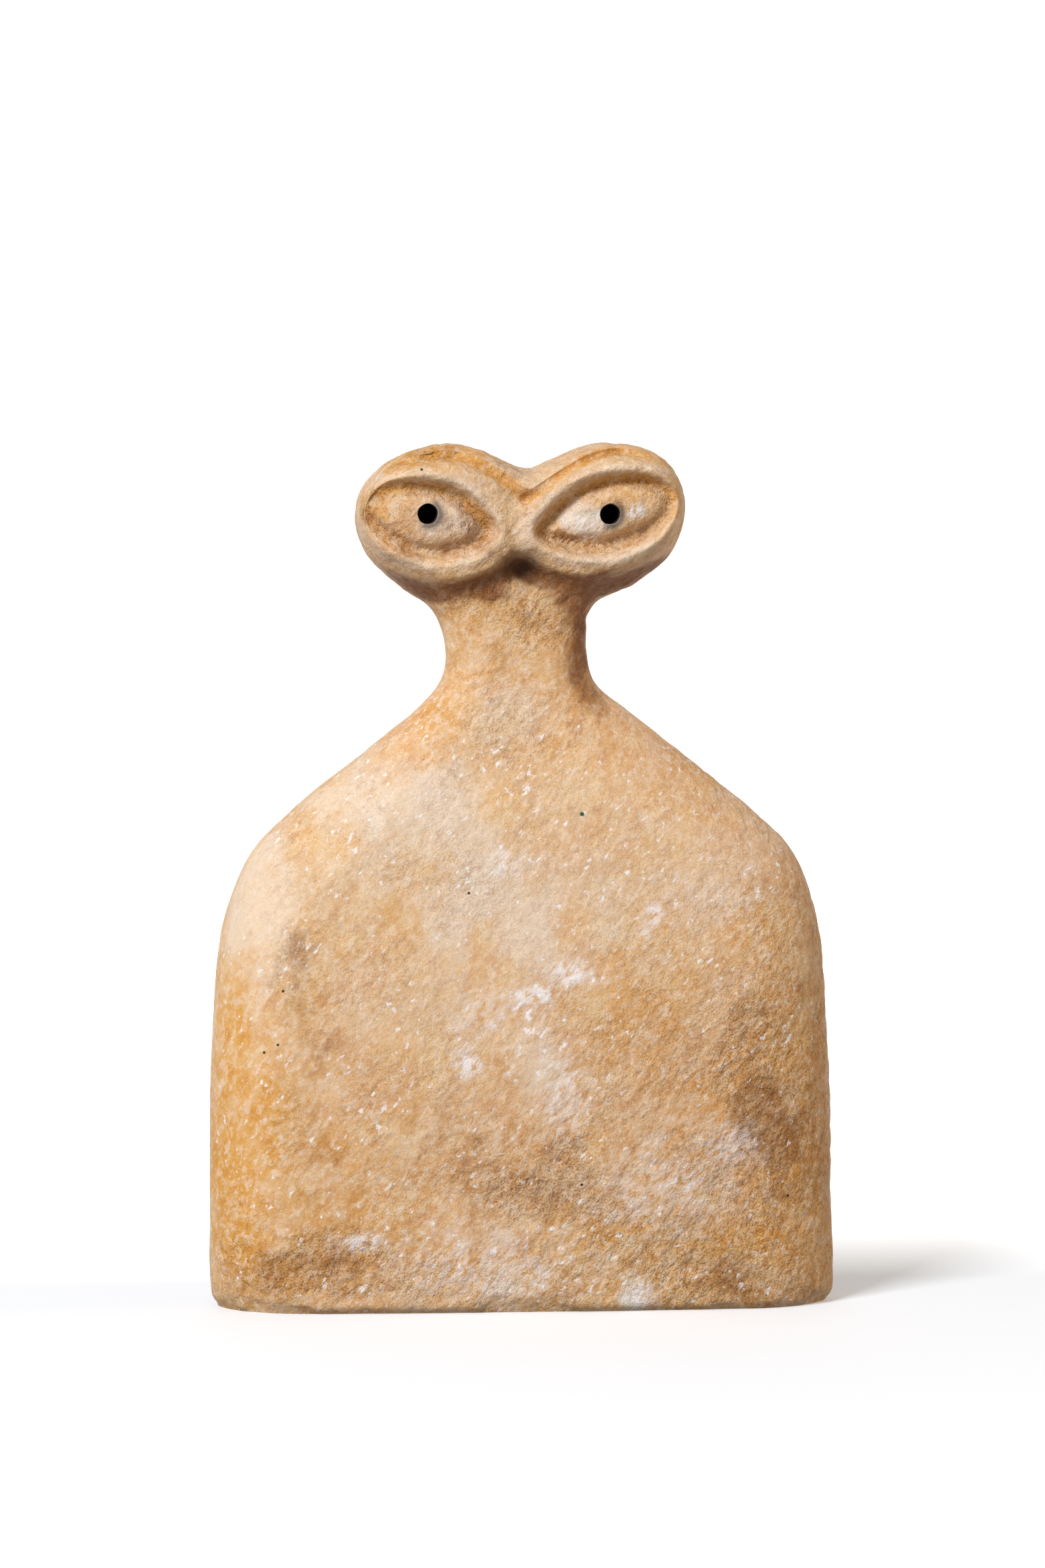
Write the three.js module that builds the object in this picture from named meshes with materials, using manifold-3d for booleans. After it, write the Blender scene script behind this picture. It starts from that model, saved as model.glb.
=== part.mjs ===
// An eye idol: a flat, round-shouldered body, a short neck, and two large carved eyes with drilled
// pupils in place of a head, all cut from one piece of alabaster. It stands on its flat base.
// Millimetres, +Z up, the eyes look along -Y, and the origin is under the middle of the base.
import * as THREE from "three";
import { mergeVertices } from "three/addons/utils/BufferGeometryUtils.js";
import Module from "manifold-3d";

// Driving dimensions
const height = 65;
const bodyWidth = 47.4;
const neckWidth = 11.1;
const headWidth = 24.8;
const bodyThickness = 13.2;
const neckThickness = 7;
const headThickness = 9.6;
const baseEdgeRadius = 0.8;
const pupilDiameter = 1.5;
const pupilDepth = 4.4;

// How much thinner the body gets towards its base, up its shoulders and out to its sides
const baseThinning = 0.06;
const shoulderThinning = 0.12;
const sideThinning = 0.14;

// How far the rounding of the sides reaches in from the outline
const bodyRounding = 6.4;
const neckRounding = 4;
const headRounding = 2.4;
const reliefStart = 0.2;
const reliefFull = 1.2;
const cutsFull = 0.4;
const edgeDeepening = 1.5;

// The carving of the eyes, their lids, the brows and the pit under the chin
const socketDepth = 1;
const socketSoftness = 0.5;
const eyeballRise = 0.85;
const eyeballFoot = 0.2;
const lidRise = 0.35;
const lidCrest = 1.2;
const lidSoftness = 0.65;
const lidTurn = 2.1;
const lidEnd = 3.3;
const browDepth = 0.5;
const browSoftness = 0.4;
const chinPitRadius = 1.1;
const chinPitDepth = 0.9;

// How finely the surface is cut
const backColumns = 27;
const frontColumns = 2 * backColumns;
const baseRows = 3;
const bodyRows = 15;
const neckRows = 7;
const headRows = 32;
const neckShare = 0.66;
const headShare = 0.81;
const edgeCrowding = 0.55;
const spanSteps = 16;
const eyeSteps = 48;
const drillSides = 24;

// The outline, seen from the front, as [share of half a width, share of the height], from the base up.
const bodyRight = [
  [0.98, 0], [0.998, 0.01], [1.005, 0.035], [1.002, 0.14], [0.988, 0.3], [0.955, 0.437],
  [0.872, 0.523], [0.745, 0.573], [0.5, 0.645], [0.326, 0.694],
];
const neckRight = [[1, 0.724], [0.905, 0.768], [1, 0.808]];
const headRight = [[0.695, 0.832], [0.922, 0.869], [1.004, 0.915]];
const bodyLeft = [
  [-0.968, 0], [-0.989, 0.01], [-0.998, 0.035], [-0.999, 0.14], [-0.99, 0.31], [-0.955, 0.44],
  [-0.868, 0.523], [-0.742, 0.573], [-0.49, 0.647], [-0.33, 0.696],
];
const neckLeft = [[-1.13, 0.728], [-1.085, 0.766], [-1.25, 0.803]];
const headLeft = [[-0.76, 0.832], [-0.952, 0.869], [-1.02, 0.908]];
// Over the top of the head, from the left eye's outer side to the right eye's.
const headTop = [
  [-0.976, 0.947], [-0.8, 0.9805], [-0.48, 0.9995], [-0.27, 0.9938], [-0.116, 0.9815], [0.016, 0.9722],
  [0.16, 0.9815], [0.335, 0.9945], [0.55, 1], [0.85, 0.983], [0.978, 0.95],
];

// Each eye's middle, its length inwards and outwards from there, its half height as shares of half the head's
// width, its tilt in degrees, and how far it narrows at its inner corner.
const eyes = [
  { side: -1, x: 0.572, z: 0.9076, inner: 0.335, outer: 0.375, half: 0.177, tilt: 12.5, taper: 0.4 },
  { side: 1, x: 0.488, z: 0.9143, inner: 0.395, outer: 0.383, half: 0.174, tilt: 15, taper: 0.55 },
];
const pupils = [
  { side: -1, x: 0.594, z: 0.9155 },
  { side: 1, x: 0.502, z: 0.915 },
];
// The groove under each brow, from the middle of the forehead to the outer side.
const browLeft = [[0, 0.933], [-0.2, 0.9635], [-0.47, 0.983], [-0.82, 0.966]];
const browRight = [[0, 0.933], [0.25, 0.9645], [0.39, 0.979], [0.545, 0.986], [0.84, 0.976]];

const smooth = THREE.MathUtils.smoothstep;
const lerp = THREE.MathUtils.lerp;
const clamp = THREE.MathUtils.clamp;
const bell = (away, softness) => Math.exp(-((away / softness) ** 2));

function place(points, width) {
  return points.map(([x, z]) => new THREE.Vector3(x * width / 2, 0, z * height));
}

function lineThrough(points) {
  const curve = new THREE.CatmullRomCurve3(points, false, "centripetal");
  return curve.getPoints(spanSteps * (points.length - 1));
}

const goingUp = [...place(bodyLeft, bodyWidth), ...place(neckLeft, neckWidth), ...place(headLeft, headWidth)];
const overTheTop = place(headTop, headWidth);
const comingDown = [
  ...place(headRight, headWidth).reverse(),
  ...place(neckRight, neckWidth).reverse(),
  ...place(bodyRight, bodyWidth).reverse(),
];
const edge = lineThrough([...goingUp, ...overTheTop, ...comingDown]);
const leftEnd = (goingUp.length - 1) * spanSteps;
const rightEnd = (goingUp.length + overTheTop.length) * spanSteps;
const browLines = [browLeft, browRight].map((points) => lineThrough(place(points, headWidth)));

// A line of points, with each one's distance from its start along it.
function measured(points) {
  const lengths = [0];
  for (let i = 1; i < points.length; i++) {
    lengths.push(lengths[i - 1] + points[i].distanceTo(points[i - 1]));
  }
  return { points, lengths };
}

const leftSide = measured(edge.slice(0, leftEnd + 1));
const top = measured(edge.slice(leftEnd, rightEnd + 1));
const rightSide = measured(edge.slice(rightEnd).reverse());

// The point at a share of a line's length.
function pointAlong({ points, lengths }, share) {
  const wanted = clamp(share, 0, 1) * lengths.at(-1);
  const next = Math.max(lengths.findIndex((length) => length >= wanted), 1);
  const part = (wanted - lengths[next - 1]) / (lengths[next] - lengths[next - 1]);
  return points[next - 1].clone().lerp(points[next], part);
}

// The least distance from (x, z) to a line of points.
function distanceTo(line, x, z) {
  let least = Infinity;
  for (let i = 1; i < line.length; i++) {
    const ax = line[i - 1].x;
    const az = line[i - 1].z;
    const bx = line[i].x - ax;
    const bz = line[i].z - az;
    const along = clamp(((x - ax) * bx + (z - az) * bz) / (bx * bx + bz * bz), 0, 1);
    least = Math.min(least, Math.hypot(x - ax - along * bx, z - az - along * bz));
  }
  return least;
}

// Heights at which the body gets thinner
const baseThinningEnd = 0.3 * height;
const thinningStart = 0.35 * height;
const thinningEnd = 0.55 * height;

// Heights at which the body passes into the neck, and the neck into the head
const shoulderStart = 0.5 * height;
const neckStart = 0.74 * height;
const neckEnd = 0.79 * height;
const headStart = 0.86 * height;
const chinLevel = 0.852 * height;
const eyeLevel = 0.9 * height;
const foreheadLevel = 0.946 * height;

// A value that goes from the body's to the neck's up the figure, and to the head's by the share onHead.
function upTheFigure(z, onHead, body, neck, head) {
  return lerp(lerp(body, neck, smooth(z, shoulderStart, neckStart)), head, onHead);
}

// A closed line round an eyeball, which narrows towards the inner corner.
function eyeOutline(eye) {
  const angle = THREE.MathUtils.degToRad(eye.tilt);
  const line = [];
  for (let step = 0; step <= eyeSteps; step++) {
    const turn = 2 * Math.PI * step / eyeSteps;
    const inwards = Math.max(-Math.cos(turn), 0);
    const across = eye.half * Math.sin(turn) * (1 - eye.taper * inwards ** 2);
    const lengthways = Math.cos(turn) * (inwards > 0 ? eye.inner : eye.outer);
    const x = eye.x + lengthways * Math.cos(angle) - across * Math.sin(angle);
    const rise = lengthways * Math.sin(angle) + across * Math.cos(angle);
    line.push(new THREE.Vector3(eye.side * x * headWidth / 2, 0, eye.z * height + rise * headWidth / 2));
  }
  return line;
}

const eyeOutlines = eyes.map(eyeOutline);

// How full an eyeball's dome is at (x, z): 1 in its middle, 0 on its outline and outside it.
function domeOf(eye, x, z) {
  const angle = THREE.MathUtils.degToRad(eye.tilt);
  const dx = eye.side * x / (headWidth / 2) - eye.x;
  const dz = (z - eye.z * height) / (headWidth / 2);
  const lengthways = dx * Math.cos(angle) + dz * Math.sin(angle);
  const across = -dx * Math.sin(angle) + dz * Math.cos(angle);
  const reach = lengthways / (lengthways > 0 ? eye.outer : eye.inner);
  const half = eye.half * (1 - eye.taper * clamp(-reach, 0, 1) ** 2);
  return Math.max(1 - reach ** 2 - (across / half) ** 2, 0);
}

// The carved face's relief, and how far (x, z) belongs to the head rather than the neck.
function faceRelief(x, z) {
  let relief = 0;
  let offLids = 1;
  let offHead = 1 - smooth(z, eyeLevel, foreheadLevel);
  eyes.forEach((eye, i) => {
    const dome = domeOf(eye, x, z);
    const away = dome > 0 ? 0 : distanceTo(eyeOutlines[i], x, z);
    relief += eyeballRise * (1 - (1 - dome) ** 2) * smooth(dome, 0, eyeballFoot);
    relief -= socketDepth * bell(away, socketSoftness);
    offLids *= 1 - bell(away - lidCrest, lidSoftness);
    offHead *= smooth(away, lidTurn, lidEnd);
  });
  return { relief: relief + lidRise * (1 - offLids), onHead: 1 - offHead };
}

// How deep the grooves under the brows and the pit under the chin are at (x, z).
function cutsAt(x, z) {
  let depth = chinPitDepth * bell(Math.hypot(x, z - chinLevel), chinPitRadius);
  for (const line of browLines) depth += browDepth * bell(distanceTo(line, x, z), browSoftness);
  return depth;
}

// Half of the body's thickness at (x, z), before its edges are rounded.
function bodyDepth(x, z) {
  const lower = baseThinning * smooth(-z, -baseThinningEnd, 0);
  const upper = shoulderThinning * smooth(z, thinningStart, thinningEnd);
  const crown = 1 - sideThinning * Math.min(Math.abs(x) / (bodyWidth / 2), 1) ** 2;
  return bodyThickness / 2 * (1 - lower - upper) * crown;
}

// Half of the thickness at (x, z), to the front or to the back.
function depthAt(x, z, isFront) {
  const rising = smooth(z, neckEnd, headStart);
  const distance = distanceTo(edge, x, z);
  const inward = 1 - Math.min(distance / upTheFigure(z, rising, bodyRounding, neckRounding, headRounding), 1);
  const roundness = Math.sqrt(1 - inward * inward);
  const { relief, onHead } = isFront ? faceRelief(x, z) : { relief: 0, onHead: rising };
  let half = roundness * upTheFigure(z, onHead, bodyDepth(x, z), neckThickness / 2, headThickness / 2);
  if (isFront) {
    half += relief * onHead * smooth(distance, reliefStart, reliefFull);
    half -= cutsAt(x, z) * (1 + edgeDeepening * inward ** 2) * smooth(distance, 0, cutsFull);
  }
  const lift = clamp(baseEdgeRadius - z, 0, baseEdgeRadius);
  const baseRounding = baseEdgeRadius - Math.sqrt(baseEdgeRadius ** 2 - lift ** 2);
  return Math.max(half - baseRounding, 0);
}

// The rows run level through the body and bend up, over the head, to follow its top.
const rowShares = [0];
const bodyStart = baseEdgeRadius / leftSide.lengths.at(-1);
for (let i = 1; i <= baseRows; i++) rowShares.push(bodyStart * (1 - Math.cos(i / baseRows * Math.PI / 2)));
for (let i = 1; i <= bodyRows; i++) rowShares.push(lerp(bodyStart, neckShare, i / bodyRows));
for (let i = 1; i <= neckRows; i++) rowShares.push(lerp(neckShare, headShare, i / neckRows));
for (let i = 1; i <= headRows; i++) rowShares.push(lerp(headShare, 1, Math.sin(i / headRows * Math.PI / 2)));
const rows = rowShares.length - 1;

// The columns crowd towards the sides, where the surface turns most.
function columnShare(column, columns) {
  const even = 2 * column / columns - 1;
  return (1 + lerp(even, Math.sin(even * Math.PI / 2), edgeCrowding)) / 2;
}

function gridPoint(row, column, columns) {
  const up = rowShares[row];
  const across = columnShare(column, columns);
  const point = pointAlong(leftSide, up).lerp(pointAlong(rightSide, up), across);
  const flat = pointAlong(leftSide, 1).lerp(pointAlong(rightSide, 1), across);
  const arch = Math.max((up - headShare) / (1 - headShare), 0);
  return point.addScaledVector(pointAlong(top, across).sub(flat), arch);
}

function sheet(columns, isFront) {
  const points = [];
  for (let row = 0; row <= rows; row++) {
    for (let column = 0; column <= columns; column++) {
      const point = gridPoint(row, column, columns);
      const onEdge = row === rows || column === 0 || column === columns;
      const depth = onEdge ? 0 : depthAt(point.x, point.z, isFront);
      points.push([point.x, isFront ? -depth : depth, point.z]);
    }
  }
  return points;
}

function idolBlank() {
  const front = sheet(frontColumns, true);
  const back = sheet(backColumns, false);
  const frontAt = (row, column) => row * (frontColumns + 1) + column;
  const backAt = (row, column) => front.length + row * (backColumns + 1) + column;
  const fold = (one, other) => Math.abs(front[one][1] - front[other][1]);
  const index = [];
  for (let row = 0; row < rows; row++) {
    for (let column = 0; column < frontColumns; column++) {
      const a = frontAt(row, column);
      const b = frontAt(row, column + 1);
      const c = frontAt(row + 1, column + 1);
      const d = frontAt(row + 1, column);
      // Each square is cut the way that folds it less, but not along the outline at the two top corners.
      const inCorner = row === rows - 1 && (column === 0 || column === frontColumns - 1);
      const cutsFromA = fold(a, c) < fold(b, d) !== inCorner;
      index.push(...(cutsFromA ? [a, b, c, a, c, d] : [a, b, d, b, c, d]));
    }
    for (let column = 0; column < backColumns; column++) {
      const a = backAt(row, column);
      const b = backAt(row, column + 1);
      if (row < rows - 1) {
        const c = backAt(row + 1, column + 1);
        const d = backAt(row + 1, column);
        index.push(a, c, b, a, d, c);
      } else {
        const [c, d, e] = [2, 1, 0].map((step) => frontAt(rows, 2 * column + step));
        index.push(a, d, b, b, d, c, a, e, d);
      }
    }
  }
  for (let column = 0; column < backColumns; column++) {
    const [a, b, c] = [0, 1, 2].map((step) => frontAt(0, 2 * column + step));
    const d = backAt(0, column);
    const e = backAt(0, column + 1);
    index.push(a, d, b, b, d, e, b, e, c);
  }
  const geometry = new THREE.BufferGeometry();
  geometry.setAttribute("position", new THREE.Float32BufferAttribute([...front, ...back].flat(), 3));
  geometry.setIndex(index);
  return geometry;
}

// A drill with a blunt tip, which enters the eyeball from the front.
function pupilDrill(pupil) {
  const radius = pupilDiameter / 2;
  const x = pupil.side * pupil.x * headWidth / 2;
  const z = pupil.z * height;
  const surface = depthAt(x, z, true);
  const drill = new THREE.LatheGeometry(
    [
      new THREE.Vector2(0, -pupilDepth),
      new THREE.Vector2(0.72 * radius, -pupilDepth + 0.25 * radius),
      new THREE.Vector2(0.94 * radius, -0.35 * pupilDepth),
      new THREE.Vector2(radius, -0.3 * radius),
      new THREE.Vector2(1.3 * radius, 0.1 * radius),
      new THREE.Vector2(1.3 * radius, 2 * radius),
      new THREE.Vector2(0, 2 * radius),
    ],
    drillSides,
  );
  drill.rotateX(Math.PI);
  drill.translate(x, -surface, z);
  return drill;
}

const wasm = await Module();
wasm.setup();

function solidOf(geometry) {
  geometry.deleteAttribute("normal");
  geometry.deleteAttribute("uv");
  const merged = mergeVertices(geometry, 1e-4);
  const vertProperties = merged.attributes.position.array;
  const triVerts = new Uint32Array(merged.index.array);
  return new wasm.Manifold(new wasm.Mesh({ numProp: 3, vertProperties, triVerts }));
}

function geometryOf(solid) {
  const mesh = solid.getMesh();
  const geometry = new THREE.BufferGeometry();
  geometry.setAttribute("position", new THREE.BufferAttribute(mesh.vertProperties, 3));
  geometry.setIndex(new THREE.BufferAttribute(mesh.triVerts, 1));
  geometry.computeVertexNormals();
  return geometry;
}

// Puts the origin under the middle of the base.
function centred(geometry) {
  geometry.computeBoundingBox();
  const middle = geometry.boundingBox.getCenter(new THREE.Vector3());
  return geometry.translate(-middle.x, -middle.y, -geometry.boundingBox.min.z);
}

let idolSolid = solidOf(idolBlank());
for (const pupil of pupils) idolSolid = idolSolid.subtract(solidOf(pupilDrill(pupil)));

const alabaster = new THREE.MeshStandardMaterial({ color: 0xd9b583, roughness: 0.62, metalness: 0 });
const idol = new THREE.Mesh(centred(geometryOf(idolSolid)), alabaster);
idol.name = "idol";

const eyeIdol = new THREE.Group();
eyeIdol.add(idol);
export default eyeIdol;
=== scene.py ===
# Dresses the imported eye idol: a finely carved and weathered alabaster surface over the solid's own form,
# with the photograph's camera, a pale floor and soft studio light. The form, its wear, its stains and the
# light and shade painted into its colour are worked out in millimetres; the mesh, the camera and the studio
# are in metres.
import itertools
import math
from collections import namedtuple

import bmesh
import bpy
import numpy as np
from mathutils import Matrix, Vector


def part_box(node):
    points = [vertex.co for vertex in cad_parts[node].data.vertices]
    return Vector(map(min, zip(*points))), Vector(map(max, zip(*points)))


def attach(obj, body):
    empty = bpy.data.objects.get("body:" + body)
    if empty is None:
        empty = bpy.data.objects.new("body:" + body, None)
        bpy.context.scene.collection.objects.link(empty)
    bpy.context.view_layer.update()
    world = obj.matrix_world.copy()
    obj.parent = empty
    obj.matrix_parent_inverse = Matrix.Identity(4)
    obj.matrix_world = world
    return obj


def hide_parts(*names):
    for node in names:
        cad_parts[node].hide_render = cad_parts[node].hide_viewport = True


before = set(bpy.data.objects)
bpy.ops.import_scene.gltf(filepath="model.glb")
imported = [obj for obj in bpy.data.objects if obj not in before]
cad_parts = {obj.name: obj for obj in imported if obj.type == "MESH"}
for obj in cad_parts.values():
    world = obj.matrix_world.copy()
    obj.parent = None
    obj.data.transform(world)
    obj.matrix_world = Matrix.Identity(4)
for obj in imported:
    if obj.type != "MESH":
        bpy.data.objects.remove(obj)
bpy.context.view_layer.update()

# The form is laid over the solid, whose box gives the height, the widths and the body's thickness.
MM = 0.001
LOW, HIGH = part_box("idol")
HEIGHT = (HIGH.z - LOW.z) / MM
NAMED_HEIGHT = 65
BODY_WIDTH = 47.4 * HEIGHT / NAMED_HEIGHT
NECK_WIDTH = 11.1 * HEIGHT / NAMED_HEIGHT
HEAD_WIDTH = 24.8 * HEIGHT / NAMED_HEIGHT
BODY_THICKNESS = (HIGH.y - LOW.y) / MM
NECK_THICKNESS = 7.0
HEAD_THICKNESS = 9.6
BASE_EDGE_RADIUS = 0.8
PUPIL_DIAMETER = 1.5
PUPIL_DEPTH = 4.4

# How much thinner the body gets towards its base, up its shoulders and out to its sides
BASE_THINNING = 0.06
SHOULDER_THINNING = 0.12
SIDE_THINNING = 0.14

# How far the rounding of the sides, and the fading of the carving, reach in from the outline
BODY_ROUNDING = 6.4
NECK_ROUNDING = 4.0
HEAD_ROUNDING = 2.4
RELIEF_START = 0.2
RELIEF_FULL = 1.2
CUTS_FULL = 0.4
EDGE_DEEPENING = 1.5

# The carving of the eyes, their lids and the pit under the chin
SOCKET_DEPTH = 1.0
SOCKET_SOFTNESS = 0.5
EYEBALL_RISE = 0.85
EYEBALL_FOOT = 0.2
LID_RISE = 0.35
LID_CREST = 1.2
LID_SOFTNESS = 0.65
LID_TURN = 2.1
LID_END = 3.3
CHIN_PIT_RADIUS = 1.1
CHIN_PIT_DEPTH = 0.9

# The outline, as [share of a half width, share of the height], from the base up and then over the head.
BODY_RIGHT = [
    (0.98, 0), (0.998, 0.01), (1.005, 0.035), (1.002, 0.14), (0.988, 0.3), (0.955, 0.437),
    (0.872, 0.523), (0.745, 0.573), (0.5, 0.645), (0.326, 0.694),
]
NECK_RIGHT = [(1.0, 0.724), (0.905, 0.768), (1.0, 0.808)]
HEAD_RIGHT = [(0.695, 0.832), (0.922, 0.869), (1.004, 0.915)]
BODY_LEFT = [
    (-0.968, 0), (-0.989, 0.01), (-0.998, 0.035), (-0.999, 0.14), (-0.99, 0.31), (-0.955, 0.44),
    (-0.868, 0.523), (-0.742, 0.573), (-0.49, 0.647), (-0.33, 0.696),
]
NECK_LEFT = [(-1.13, 0.728), (-1.085, 0.766), (-1.25, 0.803)]
HEAD_LEFT = [(-0.76, 0.832), (-0.952, 0.869), (-1.02, 0.908)]
HEAD_TOP = [
    (-0.976, 0.947), (-0.8, 0.9805), (-0.48, 0.9995), (-0.27, 0.9938), (-0.116, 0.9815),
    (0.016, 0.9722), (0.16, 0.9815), (0.335, 0.9945), (0.55, 1), (0.85, 0.983), (0.978, 0.95),
]
EYES = [
    dict(side=-1, x=0.572, z=0.9076, inner=0.335, outer=0.375, half=0.177, tilt=12.5, taper=0.4),
    dict(side=1, x=0.488, z=0.9143, inner=0.395, outer=0.383, half=0.174, tilt=15, taper=0.55),
]
PUPILS = [dict(side=-1, x=0.594, z=0.9155), dict(side=1, x=0.502, z=0.915)]
BROW_LEFT = [(0.0, 0.933), (-0.2, 0.9635), (-0.47, 0.983), (-0.82, 0.966)]
BROW_RIGHT = [(0.0, 0.933), (0.25, 0.9645), (0.39, 0.979), (0.545, 0.986), (0.84, 0.976)]
LEFT_BROW_GROOVE = dict(depth=0.55, softness=0.42)
RIGHT_BROW_GROOVE = dict(depth=0.42, softness=0.27)

# Where the stone's front is stained, pale, rough or flecked, and where light is painted on it: each patch's
# middle, its half width and half height, and its strength.
Patch = namedtuple("Patch", "x z wide tall strength")
PALE_AND_PAINTED_LIGHT_PATCHES = [
    Patch(-8.5, 37, 7, 5, 0.85), Patch(-20.2, 31.5, 2.8, 7, 0.8), Patch(-3, 31, 9, 5, 0.75),
    Patch(-7, 22, 6, 6, 0.4), Patch(1.2, 18.8, 2.4, 3.4, 0.7), Patch(4.3, 58.9, 1.9, 1.1, 1.3),
    # Patch(0.1, 58.4) is a painted highlight where the lid bands cross
    Patch(8.3, 60, 0.9, 0.6, 1), Patch(-6.6, 59, 2, 1.3, 0.75), Patch(0.1, 58.4, 1.6, 1.2, 0.6),
    # Patch(0, 61) is painted light: the head painted lighter as if lit from above
    Patch(8.2, 1.4, 1.2, 1.6, 0.9), Patch(0, 61, 13, 5, 0.42), Patch(-3, 44.4, 3.2, 2.4, 0.6),
    Patch(-12, 33, 8, 6, 0.45), Patch(1, 33, 22, 10, 0.42), Patch(-2, 2.2, 1.6, 1, 0.7),
    Patch(12, 8.5, 4, 2.4, 0.4),
]
OCHRE_AND_WARM_BOUNCE_PATCHES = [
    Patch(-7, 44, 2.2, 3.6, 0.65), Patch(-21, 14, 2.8, 9, 0.9), Patch(-17, 3.5, 5, 2.6, 0.8),
    Patch(6.9, 6.4, 2.6, 1.6, 0.8), Patch(16.6, 5.4, 2.6, 1.8, 1), Patch(16, 28.5, 3.6, 3.6, 0.7),
    Patch(-11, 59.9, 1.1, 1.7, 0.65), Patch(-7, 64, 3.6, 0.8, 1), Patch(21, 14, 2.4, 9, 0.75),
    Patch(11, 23, 5, 5, 0.45), Patch(-13, 28, 2.2, 4.5, 0.35), Patch(2, 12, 9, 6, 0.38),
    # Patch(16, 12) is painted warm bounce light over the lower right of the body
    Patch(-21.5, 5, 2.6, 5, 1), Patch(4.6, 48, 1.4, 6, 0.5), Patch(16, 12, 9, 13, 0.55),
    # Patch(-14, 7) is painted warm bounce light over the lower left of the body
    Patch(-14, 7, 9, 7, 0.5), Patch(8.8, 60.6, 1.4, 1.2, 0.6), Patch(11.3, 60.5, 1, 2.8, 0.7),
    Patch(1.7, 58.5, 0.8, 1.2, 0.6), Patch(-9.6, 57.4, 1.6, 1, 0.5),
]
BROWN_PATCHES = [
    Patch(-1.8, 40.6, 4.6, 1.2, 0.15), Patch(-15.4, 19, 1.6, 5, 0.25), Patch(-16, 11.5, 1.6, 5, 0.35),
    Patch(-17, 25.5, 1, 3.2, 0.4), Patch(-15.5, 3.8, 4.2, 2, 0.55), Patch(18.2, 13.4, 2.6, 7, 0.7),
    Patch(17, 20.5, 2.4, 3.4, 0.42), Patch(1.8, 52, 3.4, 1.8, 0.25), Patch(-1, 9.6, 5, 2.4, 0.28),
    Patch(15.5, 2.4, 5, 1.8, 0.6), Patch(-8.4, 56.6, 2.2, 0.9, 0.5), Patch(-3.4, 57.2, 1.3, 1.2, 0.5),
    Patch(20, 26, 4, 9, 0.3), Patch(-6, 14, 5, 2.2, 0.3), Patch(4.8, 49.6, 1.7, 5, 1.2),
    Patch(-20, 2.4, 3, 2, 0.4), Patch(-3.9, 58.8, 1.4, 1.9, 0.5), Patch(-2, 62.2, 2, 1.4, 0.35),
    Patch(-2.6, 53.6, 2.6, 0.8, 1), Patch(3, 53.6, 2, 0.9, 0.9),
]
GREY_PATCHES = [
    Patch(-17.6, 27, 1.4, 3, 0.62), Patch(1, 8.9, 2.2, 1.4, 0.55), Patch(-2.6, 9.8, 1.8, 1, 0.4),
    Patch(18.4, 14.6, 1.7, 4.6, 0.36), Patch(16, 3, 3, 1.4, 0.35), Patch(17.2, 23, 1, 1, 0.5),
    Patch(-14, 3.2, 2, 1, 0.5), Patch(7.6, 59.1, 1.1, 0.6, 0.5), Patch(-6.2, 59, 1.2, 0.9, 0.6),
]
FLECK_PATCHES = [
    Patch(0.5, 23.8, 1.5, 0.6, 1), Patch(3.2, 25.6, 1.2, 0.8, 0.9), Patch(-4.6, 18.8, 1, 0.9, 0.85),
    Patch(-1.6, 18.2, 0.5, 0.4, 1), Patch(9.2, 29.6, 0.6, 0.9, 0.7), Patch(8.6, 28.5, 0.5, 0.6, 0.6),
    Patch(-12.6, 5.4, 1.8, 0.5, 0.8), Patch(-1.8, 33.6, 1.4, 0.9, 0.5), Patch(2.4, 16.6, 1.6, 3, 0.45),
    Patch(14.6, 31, 3, 2, 0.25), Patch(-2.4, 22.6, 3.4, 2.2, 0.35), Patch(4.4, 58.9, 1.7, 0.8, 0.4),
    Patch(8.3, 59.7, 0.7, 0.4, 0.9), Patch(15, 12.4, 2.2, 1.6, 0.5), Patch(8, 1, 1, 0.8, 0.8),
    Patch(-2.6, 3.4, 6, 2.6, 0.4), Patch(10.5, 9, 5, 3, 0.35),
]
ROUGH_PATCHES = [
    Patch(18, 14, 5, 8, 1), Patch(0, 9.5, 6, 3.5, 0.85), Patch(-14, 3.5, 7, 3, 0.9),
    Patch(14, 3.5, 8, 3, 0.95), Patch(-1.6, 43, 6, 3.4, 0.45), Patch(1, 51.5, 4, 2.5, 0.7),
    Patch(-7, 64.2, 2.6, 0.8, 1), Patch(-2.6, 62.8, 2.2, 1.4, 0.9), Patch(-4, 58.4, 2, 2, 0.8),
    Patch(3.2, 57.9, 1.5, 1.3, 0.7),
]
DARK_DOT_RADIUS, GREEN_DOT_RADIUS = 0.1, 0.16
DARK_DOTS = [
    (-18.7, 20.2), (-19.7, 19.6), (-18.3, 24.2), (19.5, 8.5), (-7.9, 62.8), (3.9, 9.6), (-4.5, 31.4),
]
GREEN_DOT = (4.0, 37.2)

# How ragged a patch's edge is, where it starts to fade, and the lumps' sizes and shares in its raggedness
RAGGEDNESS = 2.2
PATCH_MIDDLE, PATCH_EDGE = 0.2, 1.7
RAGGED_LUMPS = [(1, 0.5), (0.4, 0.3), (0.2, 0.2)]
PATCH_LUMP, SMALL_PATCH_LUMP, FLECK_LUMP = 3.2, 1.6, 1.0

# How rough the stone is at least, towards the lower right, on the head and round the sockets
LEAST_ROUGHNESS = 0.3
LOW_RIGHT_ROUGHNESS = 0.4
LOW_RIGHT_START, LOW_RIGHT_FULL = -25, 15
HEAD_ROUGHNESS = 0.5
SOCKET_WEAR_WIDTH = 0.9
SMOOTH_EDGE_SHARE = 0.75
SMOOTH_EDGE_START, SMOOTH_EDGE_FULL = 17, 21
SMOOTH_EDGE_LOW, SMOOTH_EDGE_HIGH = 6, 12

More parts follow.
